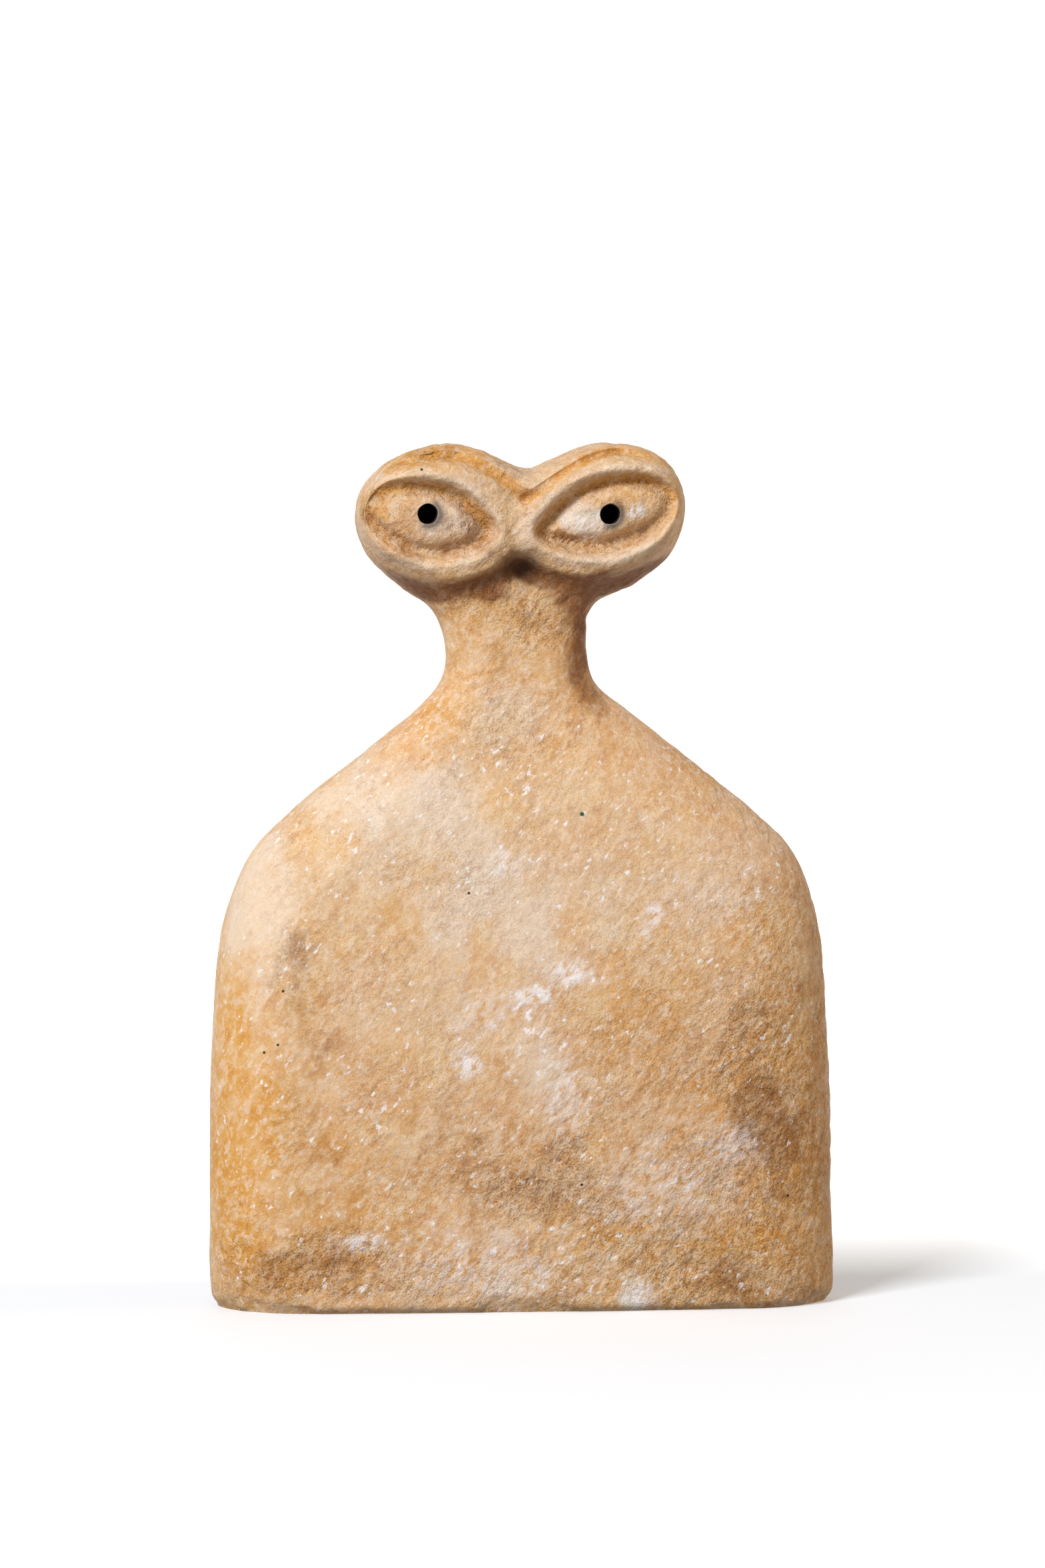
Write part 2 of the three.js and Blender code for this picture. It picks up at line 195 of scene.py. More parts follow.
# The wear: how large the lumps of each kind are, and how deep it goes
Wear = namedtuple("Wear", "lump depth")
SWELLS = Wear(8.0, 0.16)
RIPPLES = Wear(3.2, 0.09)
WRINKLES = Wear(1.1, 0.13)
GRAIN = Wear(0.55, 0.09)
HEAD_GRAIN = Wear(0.32, 0.07)
CHIPS = Wear(2.4, 0.3)
WRINKLE_SLOPE = math.radians(38)
WRINKLE_SQUEEZE = 0.5
WRINKLE_SHARPNESS = 3
CHIPS_TOP, CHIPS_FULL = 1.8, 0.3
PITS = 420
PIT_SIZES = (0.18, 0.55)
PIT_DEPTHS = (0.03, 0.13)
PIT_REACH = 3
PIT_GAIN = 2
STANDING_LEVEL = 0.02

# The brow grooves' unevenness, and the share of a groove's length in which its outer end fades out
BROW_LUMP = 2.2
BROW_LEAST, BROW_SPREAD = 0.55, 0.9
BROW_FADE = 0.25

# The drilled pupils: each ring's place behind or before the eyeball's surface, and its share of the radius
DRILL_RADIUS = PUPIL_DIAMETER / 2
DRILL_RINGS = [
    (2 * DRILL_RADIUS, 1.35), (0.05 * DRILL_RADIUS, 1.25), (-0.3 * DRILL_RADIUS, 1.02),
    (-0.6 * DRILL_RADIUS, 1.0), (-0.35 * PUPIL_DEPTH, 0.95), (-0.7 * PUPIL_DEPTH, 0.86),
    (0.25 * DRILL_RADIUS - PUPIL_DEPTH, 0.7),
]
DRILL_OVALITY, DRILL_WOBBLE = 0.02, 0.012

# The stains and painted shade in the carving: how wide each is, and how far it lies outside an eyeball's
# outline
LOWER_EYE, UPPER_EYE = -0.1, 0.12
LINE_OFFSET, LINE_WIDTH = 0.25, 0.36
LOWER_LINE, UPPER_LINE = 0.35, 0.75
SOCKET_OFFSET, SOCKET_WIDTH = 0.05, 0.6
LOWER_SOCKET, UPPER_SOCKET = 0.9, 0.5
BROW_STAIN_WIDTHS = (0.45, 0.36)
# Painted shade, partly dirt, under the lobes: where it starts, is full, fades and ends, and how far below
# eye level
UNDERSIDE_START, UNDERSIDE_FULL = 1.8, 2.8
UNDERSIDE_FADE, UNDERSIDE_END = 3.6, 4.3
BELOW_START, BELOW_FULL = 1.0, 3.0
GOLDEN_STRENGTH = 1.7
SOCKET_BROWN, BROW_BROWN = 0.6, 0.35
LID_PALENESS = 0.65
LIDS_START, LIDS_FULL = 53, 56
# The painted shade in the chin pit reaches a little wider than the pit
CHIN_PIT_SHADE_RADIUS = 1.1 * CHIN_PIT_RADIUS

# The line across the neck's foot, the painted shade in the pupils' bores and their grey rims
FOOT_LEVEL = 0.7285 * HEIGHT
FOOT_SLOPE = 0.04
FOOT_WIDTH, FOOT_REACH, FOOT_FADE = 0.35, 7, 2
FOOT_STRENGTH = 0.5
HOLE_RADIUS, HOLE_EDGE = PUPIL_DIAMETER * 0.56, 0.04
HOLE_START, HOLE_FULL = 0.2, 0.5
DEEPEST_HOLE = 1.05 * PUPIL_DEPTH
RIM_RADIUS, RIM_WIDTH = 0.62 * PUPIL_DIAMETER, 0.27
FRONT_START, FRONT_FULL = -1.0, 2.0

# How finely the surface is cut, and the gap within which its points are joined
SPAN_STEPS = 16
EYE_STEPS = 48
DRILL_SIDES = 48
FRONT_COLUMNS = 220
ROWS_IN_BODY, ROWS_IN_NECK, ROWS_IN_HEAD = 150, 30, 90
NECK_SHARE, HEAD_SHARE = 0.66, 0.81
EVEN_SHARE, CROWDED_SHARE = 0.45, 0.55
SLIVER = 0.012
SHARP_ANGLE = math.radians(50)

NOISE_TABLE = 4096
HASH_FACTORS = (73856093, 19349663, 83492791)


def smooth(value, low, high):
    """From 0 where a value is low to 1 where it is high, without a corner."""
    share = np.clip((value - low) / (high - low), 0, 1)
    return share * share * (3 - 2 * share)


def bell(away, softness):
    """1 where away is 0, falling to about a third at a distance of softness."""
    return np.exp(-((away / softness) ** 2))


def noise(points, lump, seed):
    """Smooth noise from 0 to 1 at points, with lumps about as large as lump."""
    table = np.random.default_rng(seed).random(NOISE_TABLE)
    low = np.floor(points / lump).astype(np.int64)
    part = points / lump - low
    part = part * part * (3 - 2 * part)
    total = 0
    for corner in itertools.product((0, 1), repeat=3):
        spot = (low + corner) * HASH_FACTORS
        which = (spot[:, 0] ^ spot[:, 1] ^ spot[:, 2]) % NOISE_TABLE
        total = total + np.prod(np.where(corner, part, 1 - part), axis=1) * table[which]
    return total


def placed(points, width):
    """Points given as shares of half a width and of the height, in millimetres."""
    return [(x * width / 2, z * HEIGHT) for x, z in points]


def spline(points):
    """A centripetal Catmull-Rom curve through points, with SPAN_STEPS steps from each one to the next."""
    points = np.array(points, float)
    padded = np.vstack([2 * points[0] - points[1], points, 2 * points[-1] - points[-2]])
    line = []
    for i in range(len(points) - 1):
        p = padded[i:i + 4]
        knots = np.concatenate([[0], np.cumsum(np.linalg.norm(np.diff(p, axis=0), axis=1) ** 0.5)])
        t = np.linspace(knots[1], knots[2], SPAN_STEPS, endpoint=False)[:, None]
        a = [(knots[j + 1] - t) / (knots[j + 1] - knots[j]) * p[j]
             + (t - knots[j]) / (knots[j + 1] - knots[j]) * p[j + 1] for j in range(3)]
        b = [(knots[j + 2] - t) / (knots[j + 2] - knots[j]) * a[j]
             + (t - knots[j]) / (knots[j + 2] - knots[j]) * a[j + 1] for j in range(2)]
        before, after = (knots[2] - t) / (knots[2] - knots[1]), (t - knots[1]) / (knots[2] - knots[1])
        line.append(before * b[0] + after * b[1])
    return np.vstack([*line, points[-1:]])


def along(line, shares):
    """The points at those shares of a line's length."""
    length = np.concatenate([[0], np.cumsum(np.linalg.norm(np.diff(line, axis=0), axis=1))])
    at = np.asarray(shares) * length[-1]
    return np.stack([np.interp(at, length, line[:, 0]), np.interp(at, length, line[:, 1])], axis=-1)


def distance_to(line, points):
    """Each point's least distance to a line, and the share of the line's length where that is."""
    least = np.full(len(points), np.inf)
    where = np.zeros(len(points))
    steps = len(line) - 1
    for i in range(steps):
        start, run = line[i], line[i + 1] - line[i]
        away = points - start
        share = np.clip(away @ run / (run @ run), 0, 1)
        distance = np.hypot(away[:, 0] - share * run[0], away[:, 1] - share * run[1])
        nearer = distance < least
        least[nearer] = distance[nearer]
        where[nearer] = (i + share[nearer]) / steps
    return least, where


GOING_UP = placed(BODY_LEFT, BODY_WIDTH) + placed(NECK_LEFT, NECK_WIDTH) + placed(HEAD_LEFT, HEAD_WIDTH)
OVER_THE_TOP = placed(HEAD_TOP, HEAD_WIDTH)
GOING_DOWN = placed(BODY_RIGHT, BODY_WIDTH) + placed(NECK_RIGHT, NECK_WIDTH) + placed(HEAD_RIGHT, HEAD_WIDTH)
GOING_DOWN.reverse()
EDGE = spline(GOING_UP + OVER_THE_TOP + GOING_DOWN)
LEFT_END = (len(GOING_UP) - 1) * SPAN_STEPS
RIGHT_END = (len(GOING_UP) + len(OVER_THE_TOP)) * SPAN_STEPS
SIDE_LEFT, TOP, SIDE_RIGHT = EDGE[:LEFT_END + 1], EDGE[LEFT_END:RIGHT_END + 1], EDGE[RIGHT_END:][::-1]
BROWS = [spline(placed(points, HEAD_WIDTH)) for points in (BROW_LEFT, BROW_RIGHT)]

BASE_THINNING_END = 0.3 * HEIGHT
THINNING_START = 0.35 * HEIGHT
THINNING_END = 0.55 * HEIGHT
SHOULDER_START = 0.5 * HEIGHT
HEAD_GRAIN_START = 0.7 * HEIGHT
NECK_START = 0.74 * HEIGHT
NECK_END = 0.79 * HEIGHT
HEAD_WEAR_FULL = 0.8 * HEIGHT
HEAD_START = 0.86 * HEIGHT
CHIN_LEVEL = 0.852 * HEIGHT
EYE_LEVEL = 0.9 * HEIGHT
FOREHEAD_LEVEL = 0.946 * HEIGHT


def up_the_figure(z, on_head, body, neck, head):
    """The body's value, turning into the neck's up the figure, and into the head's by the share on_head."""
    lower = body + (neck - body) * smooth(z, SHOULDER_START, NECK_START)
    return lower + (head - lower) * on_head


def eye_outline(eye):
    """A closed line round an eyeball, which narrows towards the inner corner."""
    turn = np.linspace(0, 2 * math.pi, EYE_STEPS + 1)
    across = eye["half"] * np.sin(turn) * (1 - eye["taper"] * np.minimum(np.cos(turn), 0) ** 2)
    lengthways = np.cos(turn) * np.where(np.cos(turn) > 0, eye["outer"], eye["inner"])
    angle = math.radians(eye["tilt"])
    x = (eye["x"] + lengthways * math.cos(angle) - across * math.sin(angle)) * HEAD_WIDTH / 2
    z = eye["z"] * HEIGHT + (lengthways * math.sin(angle) + across * math.cos(angle)) * HEAD_WIDTH / 2
    return np.stack([eye["side"] * x, z], axis=-1)


def eye_axes(eye, x, z):
    """How far along and across an eye each (x, z) lies, as shares of half the head's width."""
    angle = math.radians(eye["tilt"])
    dx = eye["side"] * x / (HEAD_WIDTH / 2) - eye["x"]
    dz = (z - eye["z"] * HEIGHT) / (HEAD_WIDTH / 2)
    return dx * math.cos(angle) + dz * math.sin(angle), dz * math.cos(angle) - dx * math.sin(angle)


def dome_of(eye, x, z):
    """How full an eyeball's dome is at (x, z): 1 in its middle, 0 on its outline and outside it."""
    lengthways, across = eye_axes(eye, x, z)
    reach = lengthways / np.where(lengthways > 0, eye["outer"], eye["inner"])
    half = eye["half"] * (1 - eye["taper"] * np.clip(-reach, 0, 1) ** 2)
    return np.maximum(1 - reach ** 2 - (across / half) ** 2, 0)


def face_relief(x, z):
    """The carved face's relief, and how far (x, z) belongs to the head rather than the neck."""
    relief = 0
    off_lids = 1
    off_head = 1 - smooth(z, EYE_LEVEL, FOREHEAD_LEVEL)
    for eye in EYES:
        dome = dome_of(eye, x, z)
        away, _ = distance_to(eye_outline(eye), np.stack([x, z], axis=-1))
        away = np.where(dome > 0, 0, away)
        relief = relief + EYEBALL_RISE * (1 - (1 - dome) ** 2) * smooth(dome, 0, EYEBALL_FOOT)
        relief = relief - SOCKET_DEPTH * bell(away, SOCKET_SOFTNESS)
        off_lids = off_lids * (1 - bell(away - LID_CREST, LID_SOFTNESS))
        off_head = off_head * smooth(away, LID_TURN, LID_END)
    return relief + LID_RISE * (1 - off_lids), 1 - off_head


def cuts(x, z):
    """How deep the grooves under the brows and the pit under the chin are at (x, z)."""
    depth = CHIN_PIT_DEPTH * bell(np.hypot(x, z - CHIN_LEVEL), CHIN_PIT_RADIUS)
    lumps = noise(np.stack([x, z, 0 * x], axis=-1), BROW_LUMP, seed=21)
    for line, groove in zip(BROWS, (LEFT_BROW_GROOVE, RIGHT_BROW_GROOVE)):
        away, share = distance_to(line, np.stack([x, z], axis=-1))
        uneven = (BROW_LEAST + BROW_SPREAD * lumps) * smooth(1 - share, 0, BROW_FADE)
        depth = depth + groove["depth"] * uneven * bell(away, groove["softness"])
    return depth


def depth_at(x, z, is_front):
    """Half of the thickness at each (x, z), to the front or to the back."""
    rising = smooth(z, NECK_END, HEAD_START)
    rounding = up_the_figure(z, rising, BODY_ROUNDING, NECK_ROUNDING, HEAD_ROUNDING)
    distance, _ = distance_to(EDGE, np.stack([x, z], axis=-1))
    inward = 1 - np.minimum(distance / rounding, 1)
    roundness = np.sqrt(1 - inward * inward)
    fullness = 1 - BASE_THINNING * smooth(-z, -BASE_THINNING_END, 0)
    fullness = fullness - SHOULDER_THINNING * smooth(z, THINNING_START, THINNING_END)
    crown = 1 - SIDE_THINNING * np.minimum(np.abs(x) / (BODY_WIDTH / 2), 1) ** 2
    relief, on_head = face_relief(x, z) if is_front else (0, rising)
    body = BODY_THICKNESS / 2 * fullness * crown
    half = up_the_figure(z, on_head, body, NECK_THICKNESS / 2, HEAD_THICKNESS / 2) * roundness
    if is_front:
        half = half + relief * on_head * smooth(distance, RELIEF_START, RELIEF_FULL)
        half = half - cuts(x, z) * (1 + EDGE_DEEPENING * inward ** 2) * smooth(distance, 0, CUTS_FULL)
    lift = np.clip(BASE_EDGE_RADIUS - z, 0, BASE_EDGE_RADIUS)
    base_rounding = BASE_EDGE_RADIUS - np.sqrt(BASE_EDGE_RADIUS ** 2 - lift ** 2)
    return np.maximum(half - base_rounding, 0)


def row_shares():
    """How far up the outline's sides each row of the surface starts and ends."""
    body = np.linspace(0, NECK_SHARE, ROWS_IN_BODY + 1)
    neck = np.linspace(NECK_SHARE, HEAD_SHARE, ROWS_IN_NECK + 1)[1:]
    turn = np.linspace(0, 1, ROWS_IN_HEAD + 1)[1:]
    head = HEAD_SHARE + (1 - HEAD_SHARE) * np.sin(turn * math.pi / 2)
    return np.concatenate([body, neck, head])


def grid(columns):
    """Rows of points over the figure's front view, level in the body and bent to its top over the head."""
    up = row_shares()
    even = np.linspace(-1, 1, columns + 1)
    across = (1 + EVEN_SHARE * even + CROWDED_SHARE * np.sin(even * math.pi / 2)) / 2
    start, end = along(SIDE_LEFT, up)[:, None], along(SIDE_RIGHT, up)[:, None]
    rows = start + (end - start) * across[None, :, None]
    flat = SIDE_LEFT[-1] + (SIDE_RIGHT[-1] - SIDE_LEFT[-1]) * across[:, None]
    rise = along(TOP, across) - flat
    arch = np.maximum((up - HEAD_SHARE) / (1 - HEAD_SHARE), 0)
    return rows + arch[:, None, None] * rise[None]


def sheet(columns, is_front):
    """The front's or the back's points, row by row from the base up."""
    points = grid(columns)
    rows = points.shape[0]
    x, z = points[..., 0].ravel(), points[..., 1].ravel()
    depth = depth_at(x, z, is_front).reshape(rows, columns + 1)
    depth[-1] = depth[:, 0] = depth[:, -1] = 0
    y = -depth if is_front else depth
    return np.stack([x, y.ravel(), z], axis=-1)


def blank_mesh():
    """The idol's closed surface before wear and drilling: a front, and a back with half as many columns."""
    back_columns = FRONT_COLUMNS // 2
    front, back = sheet(FRONT_COLUMNS, True), sheet(back_columns, False)
    rows = len(front) // (FRONT_COLUMNS + 1) - 1
    front_at = np.arange(len(front)).reshape(rows + 1, -1)
    back_at = len(front) + np.arange(len(back)).reshape(rows + 1, -1)
    back_at[:, 0], back_at[:, -1] = front_at[:, 0], front_at[:, -1]
    back_at[-1] = front_at[-1, ::2]
    inner = back_at[:-1]
    squares = [
        np.stack([front_at[:-1, :-1], front_at[:-1, 1:], front_at[1:, 1:], front_at[1:, :-1]], axis=-1),
        np.stack([inner[:-1, :-1], inner[1:, :-1], inner[1:, 1:], inner[:-1, 1:]], axis=-1),
    ]
    faces = [tuple(square) for block in squares for square in block.reshape(-1, 4).tolist()]
    # The end squares of the front's top row are cut so that neither folds onto the back's end triangle.
    first, last = (rows - 1) * FRONT_COLUMNS, rows * FRONT_COLUMNS - 1
    a, b, c, d = faces[first]
    faces[first] = (a, b, d)
    faces.append((b, c, d))
    a, b, c, d = faces[last]
    faces[last] = (a, b, c)
    faces.append((a, c, d))
    top, below = front_at[-1], back_at[-2]
    under, base = front_at[0], back_at[0]
    # Two columns in front meet one behind, over the top and along the base.
    for i in range(back_columns):
        a, b = below[i], below[i + 1]
        e, d, c = top[2 * i], top[2 * i + 1], top[2 * i + 2]
        faces += [(a, d, b), (b, d, c), (a, e, d)]
        a, b, c = under[2 * i], under[2 * i + 1], under[2 * i + 2]
        d, e = base[i], base[i + 1]
        faces += [(a, d, b), (b, d, e), (b, e, c)]
    points = np.vstack([front, back])
    faces = [tuple(int(v) for v in f) for f in faces if len(set(f)) == len(f)]
    used = np.unique(np.concatenate([np.array(f) for f in faces]))
    renumber = np.full(len(points), -1)
    renumber[used] = np.arange(len(used))
    return points[used], [tuple(int(renumber[v]) for v in f) for f in faces]


def patchy(points, patches, seed, lump=PATCH_LUMP):
    """How strongly a set of patches marks each point, with edges made ragged by lumps of noise."""
    ragged = 0
    for i, (size, share) in enumerate(RAGGED_LUMPS):
        ragged = ragged + share * noise(points, size * lump, seed + i)
    marked = np.zeros(len(points))
    for patch in patches:
        away = np.hypot((points[:, 0] - patch.x) / patch.wide, (points[:, 2] - patch.z) / patch.tall)
        faded = smooth(away + RAGGEDNESS * (ragged - 0.5), PATCH_MIDDLE, PATCH_EDGE)
        marked = np.maximum(marked, patch.strength * (1 - faded))
    return marked


def roughness_of(points):
    """How pitted the stone is at each point: most on the lower right and along the bottom."""
    x, z = points[:, 0], points[:, 2]
    low_right = smooth(x - z, LOW_RIGHT_START, LOW_RIGHT_FULL)
    rough = LEAST_ROUGHNESS + LOW_RIGHT_ROUGHNESS * low_right
    rough = np.maximum(rough, patchy(points, ROUGH_PATCHES, seed=31))
    rough = np.maximum(rough, HEAD_ROUGHNESS * smooth(z, NECK_START, HEAD_WEAR_FULL))
    for eye in EYES:
        away, _ = distance_to(eye_outline(eye), points[:, [0, 2]])
        rough = np.maximum(rough, bell(away, SOCKET_WEAR_WIDTH))
    left_edge = smooth(-x, SMOOTH_EDGE_START, SMOOTH_EDGE_FULL)
    left_edge = left_edge * smooth(z, SMOOTH_EDGE_LOW, SMOOTH_EDGE_HIGH)
    return rough * (1 - SMOOTH_EDGE_SHARE * left_edge) * (0.6 + 0.8 * noise(points, 3.0, seed=33))


def weathering(points):
    """How deep the weather has eaten into the surface at each point, in millimetres."""
    x, z = points[:, 0], points[:, 2]
    across = x * math.cos(WRINKLE_SLOPE) - z * math.sin(WRINKLE_SLOPE)
    lengthways = WRINKLE_SQUEEZE * (x * math.sin(WRINKLE_SLOPE) + z * math.cos(WRINKLE_SLOPE))
    slanted = np.stack([across, points[:, 1], lengthways], axis=-1)
    rough = roughness_of(points)
    wrinkles = 1 - 2 * np.abs(noise(slanted, WRINKLES.lump, seed=41) - 0.5)
    grain = noise(slanted, GRAIN.lump, seed=44)
    head_grain = noise(points, HEAD_GRAIN.lump, seed=48)
    deep = SWELLS.depth * noise(points, SWELLS.lump, seed=42)
    deep = deep + RIPPLES.depth * noise(points, RIPPLES.lump, seed=43)
    deep = deep + rough * (WRINKLES.depth * wrinkles ** WRINKLE_SHARPNESS + GRAIN.depth * grain)
    deep = deep + HEAD_GRAIN.depth * rough * head_grain * smooth(z, HEAD_GRAIN_START, HEAD_WEAR_FULL)
    random = np.random.default_rng(45)
    for _ in range(PITS):
        middle = random.uniform(-BODY_WIDTH / 2, BODY_WIDTH / 2), random.uniform(0, HEIGHT)
        size, depth = random.uniform(*PIT_SIZES), random.uniform(*PIT_DEPTHS)
        near = np.flatnonzero(np.hypot(x - middle[0], z - middle[1]) < PIT_REACH * size)
        away = np.hypot(x[near] - middle[0], z[near] - middle[1]) / size
        deep[near] += depth * rough[near] * PIT_GAIN * np.exp(-away * away)
    chipped = smooth(noise(points, CHIPS.lump, seed=46), 0.5, 0.8) * smooth(-z, -CHIPS_TOP, -CHIPS_FULL)
    return deep + CHIPS.depth * chipped


def weathered(mesh):
    """Moves a mesh's points into the stone by the depth of the weathering there."""
    points, normals = points_of(mesh), np.empty(3 * len(mesh.vertices))
    mesh.vertices.foreach_get("normal", normals)
    into = -normals.reshape(-1, 3) * weathering(points)[:, None]
    into[points[:, 2] < STANDING_LEVEL, 2] = 0
    mesh.vertices.foreach_set("co", ((points + into) * MM).ravel())
    mesh.update()


def cleaned(mesh, gap):
    """Joins a mesh's points that lie within a gap of each other, in millimetres."""
    work = bmesh.new()
    work.from_mesh(mesh)
    bmesh.ops.dissolve_degenerate(work, dist=gap * MM, edges=work.edges)
    bmesh.ops.remove_doubles(work, verts=work.verts, dist=gap * MM)
    work.to_mesh(mesh)
    work.free()


def points_of(mesh):
    """A mesh's points, in millimetres."""
    points = np.empty(3 * len(mesh.vertices))
    mesh.vertices.foreach_get("co", points)
    return points.reshape(-1, 3) / MM


def pupil_place(pupil):
    """A pupil's middle, as x, z and how far the eyeball's surface stands out there."""
    x, z = pupil["side"] * pupil["x"] * HEAD_WIDTH / 2, pupil["z"] * HEIGHT
    return x, z, float(depth_at(np.array([x]), np.array([z]), True)[0])


def pupil_drill(pupil):
    """A blunt, slightly uneven drill that widens at the eyeball's surface, as points and faces."""
    x, z, surface = pupil_place(pupil)
    points, faces = [], []
    for out, share in DRILL_RINGS:
        for side in range(DRILL_SIDES):
            turn = 2 * math.pi * side / DRILL_SIDES
            uneven = 1 + DRILL_OVALITY * math.sin(2 * turn + x) + DRILL_WOBBLE * math.sin(5 * turn)
            reach = DRILL_RADIUS * share * uneven
            points.append((x + reach * math.cos(turn), -surface - out, z + reach * math.sin(turn)))
    for ring in range(len(DRILL_RINGS) - 1):
        for side in range(DRILL_SIDES):
            a, b = ring * DRILL_SIDES + side, ring * DRILL_SIDES + (side + 1) % DRILL_SIDES
            faces.append((a, a + DRILL_SIDES, b + DRILL_SIDES, b))
    faces.append(tuple(range(DRILL_SIDES)))
    faces.append(tuple(range(len(points) - DRILL_SIDES, len(points)))[::-1])
    return points, faces


def new_object(name, points, faces):
    mesh = bpy.data.meshes.new(name)
    mesh.from_pydata((np.array(points) * MM).tolist(), [], faces)
    mesh.validate()
    thing = bpy.data.objects.new(name, mesh)
    bpy.context.scene.collection.objects.link(thing)
    return thing


def drill_pupils(idol):
    """Cuts the pupils into the idol's mesh."""
    drills = []
    for i, pupil in enumerate(PUPILS):
        points, faces = pupil_drill(pupil)
        drill = new_object(f"drill_{i}", points, faces)
        cut = idol.modifiers.new(drill.name, "BOOLEAN")
        cut.object = drill
        cut.operation = "DIFFERENCE"
        cut.solver = "EXACT"
        drills.append(drill)
    mesh = bpy.data.meshes.new_from_object(idol.evaluated_get(bpy.context.evaluated_depsgraph_get()))
    idol.modifiers.clear()
    idol.data = mesh
    for drill in drills:
        bpy.data.objects.remove(drill)


def eye_marks(x, z, uneven):
    """The stains round the eyeballs at each (x, z): on their edges, the sockets and lids, and the painted
    shade, partly dirt, under the lobes.
    """
    lines, sockets, lids, underside_shade_and_dirt = (np.zeros(len(x)) for _ in range(4))
    for eye in EYES:
        dome = dome_of(eye, x, z)
        away, _ = distance_to(eye_outline(eye), np.stack([x, z], axis=-1))
        signed, outside = np.where(dome > 0, -away, away), np.where(dome > 0, 0, away)
        _, across = eye_axes(eye, x, z)
        upper = smooth(across, LOWER_EYE, UPPER_EYE)
        line = bell(signed - LINE_OFFSET, LINE_WIDTH) * (LOWER_LINE + UPPER_LINE * upper)
        socket = bell(signed - SOCKET_OFFSET, SOCKET_WIDTH) * (LOWER_SOCKET - UPPER_SOCKET * upper)
        below = smooth(EYE_LEVEL - z, BELOW_START, BELOW_FULL)
        # Painted shade, partly dirt, where the lobes turn under below eye level
        shaded = smooth(outside, UNDERSIDE_START, UNDERSIDE_FULL)
        shaded = shaded * (1 - smooth(outside, UNDERSIDE_FADE, UNDERSIDE_END))
        lines = np.maximum(lines, line)
        sockets = np.maximum(sockets, socket)
        lids = np.maximum(lids, bell(outside - LID_CREST, LID_SOFTNESS))
        underside_shade_and_dirt = np.maximum(underside_shade_and_dirt, below * shaded * (0.7 + 0.5 * uneven))
    return lines, sockets, lids, underside_shade_and_dirt


def brow_marks(x, z):
    """The stain in the grooves under the brows at each (x, z)."""
    brows = np.zeros(len(x))
    for line, width in zip(BROWS, BROW_STAIN_WIDTHS):
        away, _ = distance_to(line, np.stack([x, z], axis=-1))
        brows = np.maximum(brows, bell(away, width))
    return brows


def pupil_marks(points):
    """How far each point lies in a pupil's bore, to be painted as shade, and on the grey rim at its lower
    right.
    """
    bore_shade, rims = np.zeros(len(points)), np.zeros(len(points))
    for pupil in PUPILS:
        x, z, surface = pupil_place(pupil)
        across, up = points[:, 0] - x, points[:, 2] - z
        from_middle = np.hypot(across, up)
        inside = smooth(HOLE_RADIUS - from_middle, 0, HOLE_EDGE)
        deep = points[:, 1] + surface
        bore_shade = np.maximum(bore_shade, inside * smooth(deep, HOLE_START, HOLE_FULL) * (deep < DEEPEST_HOLE))
        low_right = smooth(across - 0.5 * up, -0.5, 0.4)
        rims = np.maximum(rims, bell(from_middle - RIM_RADIUS, RIM_WIDTH) * low_right)
    return bore_shade, rims


def marks_of(points):
    """The stains, wear, painted light and painted shade at each point, for the material: 0 is none, and 1 or
    more is full.
    """
    x, z = points[:, 0], points[:, 2]
    front = smooth(-points[:, 1], FRONT_START, FRONT_FULL)
    uneven = 0.45 + 0.9 * noise(points, 1.5, seed=61)
    lines, sockets, lids, underside_shade_and_dirt = eye_marks(x, z, uneven)
    brows = brow_marks(x, z)
    bore_shade, rims = pupil_marks(points)
    foot = bell(z - FOOT_LEVEL + FOOT_SLOPE * x, FOOT_WIDTH) * smooth(FOOT_REACH - np.abs(x), 0, FOOT_FADE)
    golden = np.maximum(GOLDEN_STRENGTH * uneven * np.maximum(lines, brows), FOOT_STRENGTH * foot)
    carved_brown = uneven * np.maximum(SOCKET_BROWN * sockets, BROW_BROWN * brows)
    lid_paleness = LID_PALENESS * uneven * lids * smooth(z, LIDS_START, LIDS_FULL)
    # Painted shade darkening the chin pit
    chin = bell(np.hypot(x, z - CHIN_LEVEL), CHIN_PIT_SHADE_RADIUS) * (0.75 + 0.5 * noise(points, 0.8, seed=63))
    brown = np.maximum(carved_brown, patchy(points, BROWN_PATCHES, seed=55))
    return {
        # pale also carries painted light on the head and a painted highlight where the lids cross
        "pale": front * np.maximum(patchy(points, PALE_AND_PAINTED_LIGHT_PATCHES, seed=51), lid_paleness),
        # ochre also carries painted warm bounce light over the lower body
        "ochre": front * np.maximum(patchy(points, OCHRE_AND_WARM_BOUNCE_PATCHES, seed=53), golden),
        # brown also carries the painted shade, partly dirt, under the lobes
        "brown": front * np.maximum(brown, underside_shade_and_dirt),
        "grey": front * patchy(points, GREY_PATCHES, seed=57, lump=SMALL_PATCH_LUMP),
        "fleck": front * patchy(points, FLECK_PATCHES, seed=59, lump=FLECK_LUMP),
        "pit": front * chin,
        "rough": roughness_of(points),
        "rim": front * rims,
        # Painted shade deep in the pupils' bores
        "bore_shade": bore_shade,
    }


